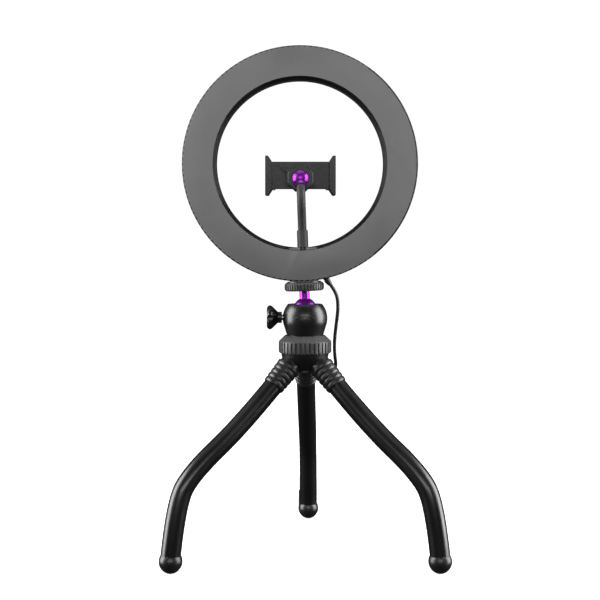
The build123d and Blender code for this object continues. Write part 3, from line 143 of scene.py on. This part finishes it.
FINISHES = {
    # The ring's housing is black plastic; its grey is painted light, for the light on the ring's flat back.
    "shell": moulded(
        "satin black housing painted grey for light", (0.15, 0.15, 0.15), (0.175, 0.175, 0.175), 0.5, grain=3200.0,
    ),
    "diffuser": moulded(
        "opal panel", (0.8, 0.8, 0.78), (0.86, 0.86, 0.84), 0.4,
        grain=500.0, grain_depth=0.004, Subsurface_Weight=0.25, Subsurface_Scale=0.002,
    ),
    "circuit_board": moulded("white board lacquer", (0.72, 0.73, 0.7), (0.8, 0.8, 0.78), 0.35),
    "warm_led": moulded("amber phosphor", (0.85, 0.5, 0.08), (0.9, 0.58, 0.12), 0.3),
    "cool_led": moulded("pale phosphor", (0.85, 0.8, 0.3), (0.9, 0.86, 0.4), 0.3),
    "steel": moulded(
        "bright steel", (0.42, 0.42, 0.44), (0.55, 0.55, 0.57), 0.3, metallic=1.0, grain=1800.0,
    ),
    "brass": moulded("turned brass", (0.5, 0.33, 0.1), (0.6, 0.42, 0.15), 0.3, metallic=1.0),
    "head_plastic": moulded(
        "black head plastic", (0.004, 0.004, 0.0045), (0.008, 0.008, 0.009), 0.33, grain=3600.0,
    ),
    "purple_metal": moulded(
        "purple anodising", (0.2, 0.015, 0.3), (0.27, 0.03, 0.4), 0.32,
        metallic=0.8, grain=1500.0, grain_depth=0.003,
    ),
    "seat_plastic": moulded("natural acetal", (0.62, 0.62, 0.58), (0.7, 0.7, 0.66), 0.4),
    "soft_rubber": moulded(
        "soft black rubber", (0.008, 0.008, 0.009), (0.014, 0.014, 0.014), 0.36, grain=2400.0,
    ),
    "leg_sleeve": moulded(
        "black leg rubber", (0.003, 0.003, 0.003), (0.005, 0.005, 0.005), 0.3, grain=2800.0,
    ),
    "foot_rubber": moulded(
        "foot rubber", (0.006, 0.006, 0.006), (0.01, 0.01, 0.01), 0.36, grain=2400.0,
    ),
    "arm_metal": moulded(
        "black arm enamel", (0.025, 0.025, 0.024), (0.04, 0.04, 0.039), 0.55, grain=2000.0,
    ),
    "clamp_plastic": moulded(
        "black clamp plastic", (0.002, 0.002, 0.002), (0.004, 0.004, 0.004), 0.3,
        grain=3200.0, Specular_IOR_Level=0.25,
    ),
    "lead_jacket": moulded(
        "black lead jacket", (0.008, 0.008, 0.008), (0.014, 0.014, 0.014), 0.42, grain=2600.0,
    ),
    "control_plastic": moulded(
        "black control plastic", (0.012, 0.012, 0.012), (0.02, 0.02, 0.02), 0.4, grain=3200.0,
    ),
    "tie": moulded(
        "black strap", (0.01, 0.01, 0.01), (0.02, 0.02, 0.02), 0.75, grain=1500.0, grain_depth=0.06,
    ),
}

# A glossier, much darker copy of the housing plastic: painted shade for the ring's rims.
RIM_PAINTED_SHADE = moulded(
    "painted shade on the ring rims", (0.006, 0.006, 0.006), (0.01, 0.01, 0.01), 0.3, grain=3200.0,
)
PLATE_FINISH = moulded(
    "dark grey cover plastic", (0.01, 0.01, 0.011), (0.02, 0.02, 0.021), 0.4,
    grain=3200.0, Specular_IOR_Level=0.3,
)
# Grey grip rubber whose grey is partly its own tone and partly painted light, for the light on the lock
# disc, the lock collar and the hub cover.
GRIP_PAINTED_LIGHT = moulded(
    "grey grip rubber painted lighter for light", (0.035, 0.035, 0.037), (0.055, 0.055, 0.058), 0.45, grain=3000.0,
)


def paint(piece, slot):
    """The finish of a material slot, on the whole of a piece."""
    piece.data.materials.clear()
    piece.data.materials.append(FINISHES[slot])


# ---------------- Tools of the bench ----------------

def pick(piece):
    """Selects this piece alone."""
    bpy.ops.object.select_all(action="DESELECT")
    piece.select_set(True)
    bpy.context.view_layer.objects.active = piece
    return piece


def edit(piece):
    """Edit mode on this piece alone, picking vertices."""
    pick(piece)
    bpy.ops.object.mode_set(mode="EDIT")
    bpy.ops.mesh.select_mode(type="VERT")


def leave():
    """Back to object mode."""
    bpy.ops.object.mode_set(mode="OBJECT")


def select_vertices(piece, test):
    """Selects the vertices that pass a test, and nothing else."""
    pick(piece)
    for group in (piece.data.edges, piece.data.polygons):
        for item in group:
            item.select = False
    for vertex in piece.data.vertices:
        vertex.select = bool(test(vertex))


def apply_modifiers(piece):
    """Makes every modifier of a piece part of its mesh."""
    pick(piece)
    for modifier in list(piece.modifiers):
        bpy.ops.object.modifier_apply(modifier=modifier.name)


def settle(piece):
    """Puts a piece's place into its mesh."""
    pick(piece)
    bpy.ops.object.transform_apply(location=True, rotation=True, scale=True)


def eased(node, edge, angle=32.0, name=None):
    """A copy of a CAD piece with its facets joined, its corners eased and its finish on."""
    mesh = nodes[node].data.copy()
    piece = bpy.data.objects.new(name or node + "_eased", mesh)
    bpy.context.collection.objects.link(piece)
    edit(piece)
    bpy.ops.mesh.select_all(action="SELECT")
    bpy.ops.mesh.remove_doubles(threshold=0.002 * MM)
    bpy.ops.mesh.dissolve_limited(angle_limit=math.radians(0.6))
    leave()
    pick(piece)
    bpy.ops.object.shade_smooth_by_angle(angle=math.radians(angle))
    bevel = piece.modifiers.new("eased", "BEVEL")
    bevel.width = edge * MM
    bevel.segments = 2
    bevel.limit_method = "ANGLE"
    bevel.angle_limit = math.radians(angle)
    bevel.use_clamp_overlap = True
    bevel.harden_normals = True
    apply_modifiers(piece)
    paint(piece, slot_of[node])
    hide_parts(node)
    return piece


def eased_and_ridden(node, edge, angle=32.0):
    """An eased copy that rides on its CAD piece's body."""
    piece = eased(node, edge, angle)
    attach(piece, body_of[node])
    return piece


def line_curve(name, points):
    """An open NURBS curve of order 3 through a route's control points."""
    curve = bpy.data.curves.new(name, "CURVE")
    curve.dimensions = "3D"
    spline = curve.splines.new("NURBS")
    spline.points.add(len(points) - 1)
    for point, place in zip(spline.points, points):
        point.co = (*place, 1.0)
    spline.order_u = 3
    spline.use_endpoint_u = True
    curve.resolution_u = 16
    piece = bpy.data.objects.new(name, curve)
    bpy.context.collection.objects.link(piece)
    return piece


def points_on(curve_piece):
    """The points that a curve with no bevel runs through."""
    bpy.context.view_layer.update()
    mesh = bpy.data.meshes.new_from_object(curve_piece.evaluated_get(bpy.context.evaluated_depsgraph_get()))
    points = [vertex.co.copy() for vertex in mesh.vertices]
    bpy.data.meshes.remove(mesh)
    return points


def drop(piece):
    """Removes a helper that the object doesn't need."""
    bpy.data.objects.remove(piece, do_unlink=True)


def ribbed_bar(name, route, radius, around, pitch, depth, pattern, facet=60):
    """A bar that follows a route, with every vertex that the pattern picks sunk by depth."""
    track = line_curve(name + "_track", route)
    points = points_on(track)
    length = sum((b - a).length for a, b in zip(points, points[1:]))
    rings = max(2, round(length / pitch))
    step = length / rings
    bpy.ops.object.select_all(action="DESELECT")
    bpy.ops.mesh.primitive_cylinder_add(
        vertices=around, radius=radius, depth=step, end_fill_type="NOTHING",
        location=(step / 2, 0, 0), rotation=(0, math.pi / 2, 0),
    )
    bar = bpy.context.active_object
    bar.name = name
    settle(bar)
    array = bar.modifiers.new("rings", "ARRAY")
    array.count = rings
    array.use_relative_offset = False
    array.use_constant_offset = True
    array.constant_offset_displace = (step, 0, 0)
    array.use_merge_vertices = True
    array.merge_threshold = step / 20
    apply_modifiers(bar)

    def sunk(vertex):
        ring = round(vertex.co.x / step)
        if ring in (0, rings):
            return False
        spoke = round(math.atan2(vertex.co.y, vertex.co.z) / (2 * math.pi) * around)
        return pattern(ring, spoke)

    select_vertices(bar, sunk)
    bpy.ops.object.mode_set(mode="EDIT")
    bpy.ops.transform.shrink_fatten(value=-depth)
    bpy.ops.mesh.select_all(action="DESELECT")
    bpy.ops.mesh.select_mode(type="EDGE")
    bpy.ops.mesh.select_non_manifold()
    bpy.ops.mesh.fill_holes(sides=0)
    leave()
    bend = bar.modifiers.new("bend", "CURVE")
    bend.object = track
    bend.deform_axis = "POS_X"
    apply_modifiers(bar)
    edit(bar)
    bpy.ops.mesh.select_all(action="SELECT")
    bpy.ops.mesh.normals_make_consistent(inside=False)
    leave()
    bpy.ops.object.shade_smooth_by_angle(angle=math.radians(facet))
    drop(track)
    return bar


def cord_tube(name, route, radius):
    """A round tube along a route's NURBS line, and the points that it follows."""
    line = line_curve(name + "_line", route)
    path = points_on(line)
    line.data.bevel_depth = radius
    line.data.bevel_resolution = 4
    line.data.use_fill_caps = True
    bpy.context.view_layer.update()
    mesh = bpy.data.meshes.new_from_object(line.evaluated_get(bpy.context.evaluated_depsgraph_get()))
    mesh.name = name
    tube = bpy.data.objects.new(name, mesh)
    bpy.context.collection.objects.link(tube)
    edit(tube)
    bpy.ops.mesh.select_all(action="SELECT")
    bpy.ops.mesh.remove_doubles(threshold=0.01 * MM)
    bpy.ops.mesh.normals_make_consistent(inside=False)
    leave()
    bpy.ops.object.shade_smooth_by_angle(angle=math.radians(50))
    drop(line)
    return tube, path


# ---------------- Camera, floor and lights ----------------

camera_data = bpy.data.cameras.new("eye")
camera_data.lens = LENS
camera_data.shift_y = VIEW_SHIFT
camera_data.clip_end = 30.0
camera = bpy.data.objects.new("eye", camera_data)
camera.location = (EYE_SIDE, AXIS_Y - EYE_DISTANCE, EYE_HEIGHT)
camera.rotation_euler = (math.radians(90), 0, 0)
bpy.context.collection.objects.link(camera)
bpy.context.scene.camera = camera
bpy.context.scene.view_settings.view_transform = "Standard"

bpy.ops.object.select_all(action="DESELECT")
bpy.ops.mesh.primitive_plane_add(size=40.0, location=(0, 0, 0))
floor = bpy.context.active_object
floor.name = "floor"
floor_paint = bpy.data.materials.new("pale floor")
floor_paint.use_nodes = True
floor_shader = floor_paint.node_tree.nodes["Principled BSDF"]
floor_shader.inputs["Base Color"].default_value = (0.9, 0.9, 0.9, 1)
floor_shader.inputs["Roughness"].default_value = 0.6
floor_shader.inputs["Specular IOR Level"].default_value = 0.2
floor_shader.inputs["Emission Color"].default_value = (1, 1, 1, 1)
floor_tree = floor_paint.node_tree
floor_place = floor_tree.nodes.new("ShaderNodeTexCoord").outputs["Object"]
floor_reach = add_node(floor_tree, "ShaderNodeVectorMath", {0: floor_place}, operation="LENGTH")
floor_glow = add_node(floor_tree, "ShaderNodeMapRange", {
    "Value": floor_reach.outputs["Value"],
    "From Min": 0.25,
    "From Max": 1.1,
    "To Min": 0.6,
    "To Max": 1.02,
})
floor_tree.links.new(floor_glow.outputs["Result"], floor_shader.inputs["Emission Strength"])
floor.data.materials.append(floor_paint)
floor.visible_glossy = False
floor.visible_diffuse = False

world = bpy.data.worlds.new("studio")
bpy.context.scene.world = world
world.use_nodes = True
sky = world.node_tree
sky.nodes.clear()
ray = sky.nodes.new("ShaderNodeLightPath")
seen = add_node(sky, "ShaderNodeBackground", {"Color": (1, 1, 1, 1), "Strength": 1.05})
cast = add_node(sky, "ShaderNodeBackground", {"Color": (1, 1, 1, 1), "Strength": 0.05})
choice = sky.nodes.new("ShaderNodeMixShader")
sky.links.new(ray.outputs["Is Camera Ray"], choice.inputs[0])
sky.links.new(cast.outputs[0], choice.inputs[1])
sky.links.new(seen.outputs[0], choice.inputs[2])
sky.links.new(choice.outputs[0], sky.nodes.new("ShaderNodeOutputWorld").inputs["Surface"])


def soft_box(name, place, aim, width, height, power):
    """A rectangular studio light that faces a point."""
    light = bpy.data.lights.new(name, "AREA")
    light.shape = "RECTANGLE"
    light.size = width
    light.size_y = height
    light.energy = power
    lamp = bpy.data.objects.new(name, light)
    lamp.location = place
    lamp.rotation_euler = (Vector(aim) - Vector(place)).to_track_quat("-Z", "Y").to_euler()
    bpy.context.collection.objects.link(lamp)


MIDDLE = (0, AXIS_Y, 0.22)
soft_box("left_wall", (-1.3, AXIS_Y - 0.05, 0.5), MIDDLE, 0.9, 1.4, 46.0)
soft_box("right_wall", (1.3, AXIS_Y - 0.05, 0.5), MIDDLE, 0.9, 1.4, 46.0)
soft_box("top_sheet", (0, AXIS_Y + 0.2, 1.9), (0, AXIS_Y, 0), 1.6, 1.6, 15.0)
soft_box("front_fill", (0, AXIS_Y - 1.7, 0.6), MIDDLE, 1.3, 0.25, 10.0)

# ---------------- Lead, hank and plug ----------------

RING_RISE = 124.0
GLAND_TURN = math.radians(10.6)
GLAND_LEAN = math.radians(38.0)
GLAND_RADIUS = 100.0
GLAND_DEPTH = -4.6
GLAND_LENGTH = 6.2
FIRST_RUN = 9.0
ring_centre = BALL + HEAD_UP * RING_RISE * MM
gland_spoke = HEAD_SIDE * math.sin(GLAND_TURN) - HEAD_UP * math.cos(GLAND_TURN)
gland_seat = ring_centre + gland_spoke * GLAND_RADIUS * MM
gland_seat = gland_seat + Vector((0, GLAND_DEPTH, 0)) * MM
gland_way = Vector((math.sin(GLAND_LEAN), 0, -math.cos(GLAND_LEAN)))
gland_end = gland_seat + gland_way * GLAND_LENGTH * MM
control_low, control_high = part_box("control_cover")
control_x = (control_low.x + control_high.x) / 2
LEAD_R = 1.5 * MM
LEAD_HEIGHT = 4.3 * MM
CONTROL_RUN = 11.0 * MM

# The lead's way from the ring to the floor: across, behind the stand's axis and up, in millimetres.
LEAD_WAY = [
    (28.3, -2.2, 209.0),
    (26.7, 1.0, 195.0),
    (25.2, 4.6, 181.0),
    (25.4, 7.4, 168.0),
    (27.2, 12.5, 157.0),
    (23.0, 25.0, 149.8),
    (11.5, 38.5, 146.2),
    (4.2, 54.0, 136.0),
    (1.8, 70.5, 119.8),
    (1.9, 88.0, 105.6),
    (2.4, 106.0, 91.4),
    (2.9, 121.0, 76.0),
    (3.2, 130.5, 56.0),
    (3.3, 134.9, 35.0),
    (3.2, 137.0, 14.5),
]
lead_route = [gland_end, gland_end + gland_way * FIRST_RUN * MM]
lead_route += [Vector((x * MM, y * MM + AXIS_Y, z * MM)) for x, y, z in LEAD_WAY]
lead_route += [Vector((control_x, control_low.y - back, LEAD_HEIGHT)) for back in (CONTROL_RUN, 0)]

lead, lead_path = cord_tube("power_lead", lead_route, LEAD_R)
paint(lead, "lead_jacket")
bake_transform(lead)
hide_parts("lead")

hank_low, hank_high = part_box("hank")
hank_x = (hank_low.x + hank_high.x) / 2
hank_z = (hank_low.z + hank_high.z) / 2
HANK_RUN = 6.0 * MM
TAIL_RUN = 4.0 * MM
COLUMN = 3.3 * MM
COLUMNS = 4
SLACK = 0.05 * MM
outer_fold = hank_z - LEAD_R - SLACK
inner_fold = outer_fold - COLUMN
near_y = hank_low.y + LEAD_R + outer_fold
far_y = hank_high.y - LEAD_R - outer_fold
columns = [hank_x + (i - (COLUMNS - 1) / 2) * COLUMN for i in range(COLUMNS)]
EASE = 6.0 * MM
WAIST = 0.7 * MM
TIE_HALF = 7.0 * MM
TURN_SPREAD = 0.925
UP_THE_FAR_END = -67.5
DOWN_THE_NEAR_END = 112.5


def fold(x_from, x_to, radius_from, radius_to, centre_y, centre_z, first_angle):
    """Four control points round half a turn. The column changes first, and then the layer."""
    across = (0.35, 0.9, 1.0, 1.0)
    deeper = (0.0, 0.0, 0.35, 0.9)
    points = []
    for i in range(4):
        angle = math.radians(first_angle + 45.0 * i)
        radius = (radius_from + (radius_to - radius_from) * deeper[i]) / TURN_SPREAD
        x = x_from + (x_to - x_from) * across[i]
        y = centre_y + radius * math.cos(angle)
        z = centre_z + radius * math.sin(angle)
        points.append(Vector((x, y, z)))
    return points


def run(x, side, radius, start_y, end_y):
    """A straight run of the hank, pressed in a little at the tie."""
    way = 1 if end_y > start_y else -1
    middle = (start_y + end_y) / 2
    return [
        Vector((x, start_y + way * EASE, hank_z + side * radius)),
        Vector((x, middle - way * TIE_HALF, hank_z + side * (radius - WAIST))),
        Vector((x, middle + way * TIE_HALF, hank_z + side * (radius - WAIST))),
        Vector((x, end_y - way * EASE, hank_z + side * radius)),
    ]


turns = [(column, inner_fold) for column in columns]
turns += [(column, outer_fold) for column in columns[:0:-1]]
hank_route = [Vector((control_x, control_high.y + on, LEAD_HEIGHT)) for on in (0, HANK_RUN)]
for (x, radius), (next_x, next_radius) in zip(turns, turns[1:]):
    hank_route += run(x, -1, radius, near_y, far_y)
    hank_route += fold(x, x, radius, radius, far_y, hank_z, UP_THE_FAR_END)
    hank_route += run(x, 1, radius, far_y, near_y)
    hank_route += fold(x, next_x, radius, next_radius, near_y, hank_z, DOWN_THE_NEAR_END)
last_x, last_radius = turns[-1]
hank_route += run(last_x, -1, last_radius, near_y, far_y)
tail_low, tail_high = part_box("plug_tail")
tail_radius = (tail_high.z - tail_low.z) / 2 - LEAD_R
tail_y = tail_high.y - LEAD_R - tail_radius
tail_z = (tail_low.z + tail_high.z) / 2
grip_end_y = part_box("plug_grip")[1].y
hank_route += [Vector((last_x, tail_y - TAIL_RUN, tail_z - tail_radius))]
hank_route += fold(last_x, last_x, tail_radius, tail_radius, tail_y, tail_z, UP_THE_FAR_END)
hank_route += [Vector((last_x, grip_end_y, tail_z + tail_radius))]

wound_lead, wound_path = cord_tube("wound_lead", hank_route, LEAD_R)
paint(wound_lead, "lead_jacket")
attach(wound_lead, "stand")
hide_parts("lead_to_hank", "hank", "plug_tail")

# ---------------- Legs ----------------

# Places in a leg's upright plane are how far out from the stand's axis and how far up, in millimetres.
LEG_ROUTE = [(60.0, 114.0), (106.0, 78.0), (119.5, 55.0), (124.3, 13.0)]
ROOT_AT = Vector((17.0, 158.0))
ROOT_WAY = (Vector(LEG_ROUTE[0]) - ROOT_AT).normalized()
SLEEVE_R = 8.3 * MM
SLEEVE_START = 14.0
KNURL_AROUND = 48
KNURL_STEP = 1.08 * MM
KNURL_DEPTH = 0.4 * MM


def in_leg_plane(azimuth, out, up):
    """A point of a leg's upright plane: out from the stand's axis, and up."""
    angle = math.radians(azimuth)
    return Vector((math.cos(angle) * out * MM, AXIS_Y + math.sin(angle) * out * MM, up * MM))


for side, azimuth in LEG_SIDES.items():
    start = ROOT_AT + ROOT_WAY * SLEEVE_START
    route = [in_leg_plane(azimuth, *start)] + [in_leg_plane(azimuth, *point) for point in LEG_ROUTE]
    sleeve = ribbed_bar(
        side + "_leg_skin", route, SLEEVE_R, KNURL_AROUND, KNURL_STEP, KNURL_DEPTH,
        lambda ring, spoke: (ring + spoke) % 2 == 1,
        facet=12,
    )
    paint(sleeve, "leg_sleeve")
    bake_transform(sleeve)
    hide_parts(side + "_leg_sleeve_upper", side + "_leg_sleeve_lower", side + "_leg_core")
    boot = eased(side + "_leg_boot", 0.35, angle=25.0, name=side + "_leg_cuff")
    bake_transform(boot)
    eased_and_ridden(side + "_foot", 0.3, angle=40.0)

# ---------------- Phone arm ----------------

# Rises and depths in the arm's plane are in millimetres.
ARM_R = 3.75 * MM
ARM_AROUND = 40
ARM_STEP = 0.55 * MM
ARM_GROOVE = 0.28 * MM
ARM_DEPTH = -3.0
ARM_START = 63.5
ARM_BEND = 70.75
NECK_LENGTH = 14.0
NECK_RUN = 10.1
CLAMP_BALL_RISE = 111.8
CLAMP_BALL_DEPTH = 4.0
DROP = math.radians(35.0)


def in_arm_plane(rise, depth):
    """A point of the arm's plane: up from the head's ball, and behind it, or in front below zero."""
    return BALL + HEAD_UP * rise * MM + Vector((0, depth * MM, 0))


tip_rise = CLAMP_BALL_RISE - math.sin(DROP) * NECK_LENGTH
tip_depth = CLAMP_BALL_DEPTH - math.cos(DROP) * NECK_LENGTH
arm_route = [
    in_arm_plane(ARM_START, ARM_DEPTH),
    in_arm_plane(ARM_BEND, ARM_DEPTH),
    in_arm_plane(tip_rise - math.sin(DROP) * NECK_RUN, tip_depth - math.cos(DROP) * NECK_RUN),
    in_arm_plane(tip_rise, tip_depth),
]
arm = ribbed_bar(
    "arm_gooseneck", arm_route, ARM_R, ARM_AROUND, ARM_STEP, ARM_GROOVE,
    lambda ring, spoke: ring % 3 == 0,
)
paint(arm, "arm_metal")
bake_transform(arm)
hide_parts("gooseneck")

# ---------------- The rest of the made pieces ----------------

# The width of each piece's eased corners, in millimetres.
EASED_EDGES = {
    "back_shell": 0.5,
    "lock_disc": 0.25,
    "ball_housing": 0.5,
    "lock_knob": 0.4,
    "lock_collar": 0.25,
    "hub": 0.4,
    "hub_cover": 0.3,
    "arm_ferrule": 0.2,
    "ball_nut": 0.3,
    "clamp_body": 0.5,
    "clamp_cover": 0.25,
    "sliding_jaw": 0.5,
    "fixed_jaw_pad": 0.2,
    "sliding_jaw_pad": 0.2,
    "control_base": 0.5,
    "control_cover": 0.4,
    "plug_grip": 0.6,
    "cable_gland": 0.2,
    "diffuser": 0.4,
}
made = {node: eased_and_ridden(node, edge) for node, edge in EASED_EDGES.items()}
for node in ("clamp_cover", "ball_nut"):
    made[node].data.materials[0] = PLATE_FINISH
# The lock disc, the lock collar and the hub cover are painted lighter, partly for the light that falls on
# them.
for node in ("lock_disc", "lock_collar", "hub_cover"):
    made[node].data.materials[0] = GRIP_PAINTED_LIGHT

# Painted shade: the ring's rims get a much darker copy of the housing plastic, and only its flat back keeps
# the lighter grey, which is painted light.
RIM_SHADE_TURN = -0.92
housing = made["back_shell"]
housing.data.materials.append(RIM_PAINTED_SHADE)
for face in housing.data.polygons:
    face.material_index = 1 if face.normal.y > RIM_SHADE_TURN else 0

dome_low, dome_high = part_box("ball_housing")
dome_r = (dome_high.x - dome_low.x) / 2
# A thin arched line crosses the front of the ball housing. Its points are across and up.
ARCH_DROP = 5.4 * MM
ARCH_R = 0.4 * MM
ARCH = [(-8.2, -1.9), (-6.6, -0.6), (-3.0, 0.15), (3.0, 0.15), (6.6, -0.6), (8.2, -1.9)]
arch_z = BALL.z - ARCH_DROP
arch_route = [
    Vector((x * MM, AXIS_Y - math.sqrt(dome_r ** 2 - (x * MM) ** 2), arch_z + z * MM))
    for x, z in ARCH
]
arch_line = cord_tube("housing_arch", arch_route, ARCH_R)[0]
paint(arch_line, "foot_rubber")
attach(arch_line, "ball_head")

# The CAD pieces that are still shown get the finish of their slot.
for name, node in nodes.items():
    if not node.hide_render:
        paint(node, slot_of[name])
